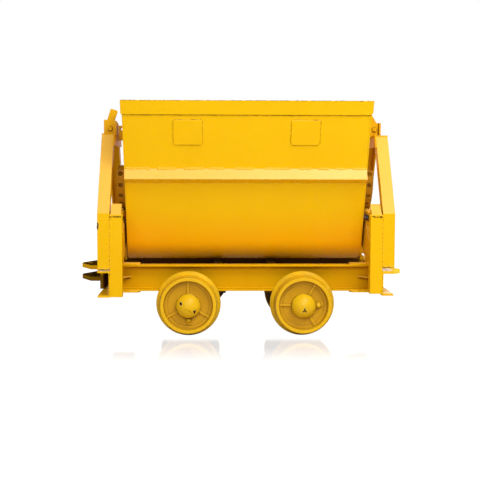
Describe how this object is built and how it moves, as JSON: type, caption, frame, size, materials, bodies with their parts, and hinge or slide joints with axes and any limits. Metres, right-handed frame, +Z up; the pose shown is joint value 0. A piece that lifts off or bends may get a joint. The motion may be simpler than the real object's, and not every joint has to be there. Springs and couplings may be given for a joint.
{
  "type": "side tipping mine car",
  "caption": "Narrow gauge mine car with a V-shaped steel tub that rolls sideways on toothed half-moon rockers to dump, on flanged wheels.",
  "frame": {"origin": "midway between the two axles, at the lowest point of the wheel flanges; the bounding box is centred on it, save that the jaws reach 20 mm further than the tongue", "axes": "+X along the track towards the tongue coupling, +Y to the far side, +Z up"},
  "size_m": [1.754, 0.9832, 1.22],
  "materials": {
    "tub_paint": "worn glossy yellow paint on steel plate",
    "frame_paint": "worn glossy yellow paint on rolled sections",
    "rocker_paint": "yellow paint over rough castings, grimy",
    "latch_paint": "hand-worn yellow paint",
    "coupler_paint": "yellow paint over flame-cut plate, worn",
    "wheel_paint": "yellow paint over cast wheels, treads worn bare",
    "axle_steel": "dull dark oiled steel",
    "dark_underframe": "dark grimy primer"
  },
  "bodies": {
    "frame": {"axle_pedestals_far": "dark_underframe", "axle_pedestals_near": "dark_underframe", "corner_plates": "frame_paint", "corner_ribs": "frame_paint", "coupler_jaws": "coupler_paint", "coupler_tongue": "coupler_paint", "cross_beams": "frame_paint", "end_beam_left": "frame_paint", "end_beam_right": "frame_paint", "end_brace_left": "frame_paint", "end_brace_right": "frame_paint", "end_head_left": "frame_paint", "end_head_right": "frame_paint", "end_leg_left_far": "frame_paint", "end_leg_left_near": "frame_paint", "end_leg_right_far": "frame_paint", "end_leg_right_near": "frame_paint", "latch_pins": "latch_paint", "post_left_far": "frame_paint", "post_left_near": "frame_paint", "post_right_far": "frame_paint", "post_right_near": "frame_paint", "side_beam_far": "frame_paint", "side_beam_near": "frame_paint", "track_left": "frame_paint", "track_right": "frame_paint"},
    "wheelset_left": {"axle_left": "axle_steel", "hub_caps_left": "wheel_paint", "wheel_left_far": "wheel_paint", "wheel_left_near": "wheel_paint"},
    "wheelset_right": {"axle_right": "axle_steel", "hub_caps_right": "wheel_paint", "wheel_right_far": "wheel_paint", "wheel_right_near": "wheel_paint"},
    "roll_carriage": {"roll_bosses": "rocker_paint"},
    "tub": {"patch_plates": "tub_paint", "rocker_left": "rocker_paint", "rocker_right": "rocker_paint", "tub_catches": "tub_paint", "tub_end_left": "tub_paint", "tub_end_right": "tub_paint", "tub_ledge_far": "tub_paint", "tub_ledge_near": "tub_paint", "tub_rim_band": "tub_paint", "tub_shell": "tub_paint"},
    "latch_left": {"latch_lever_left": "latch_paint"},
    "latch_right": {"latch_lever_right": "latch_paint"}
  },
  "joints": [
    {"name": "wheelset_left_spin", "type": "hinge", "parent": "frame", "child": "wheelset_left", "pos_m": [-0.3, 0, 0.17], "axis": [0, 1, 0], "continuous": true},
    {"name": "wheelset_right_spin", "type": "hinge", "parent": "frame", "child": "wheelset_right", "pos_m": [0.3, 0, 0.17], "axis": [0, 1, 0], "continuous": true},
    {"name": "roll_travel", "type": "slide", "parent": "frame", "child": "roll_carriage", "axis": [0, -1, 0], "range_m": [-0.3251, 0.3251]},
    {"name": "tub_roll", "type": "hinge", "parent": "roll_carriage", "child": "tub", "pos_m": [0, 0, 0.852], "axis": [1, 0, 0], "range_deg": [-93, 93]},
    {"name": "latch_left_swing", "type": "hinge", "parent": "frame", "child": "latch_left", "pos_m": [-0.724, 0, 1.092], "axis": [0, -1, 0], "range_deg": [0, 50]},
    {"name": "latch_right_swing", "type": "hinge", "parent": "frame", "child": "latch_right", "pos_m": [0.706, 0, 1.092], "axis": [0, 1, 0], "range_deg": [0, 50]}
  ],
  "couplings": [
    {"joint": "roll_travel", "follows": "tub_roll", "m_per_rad": 0.2}
  ]
}
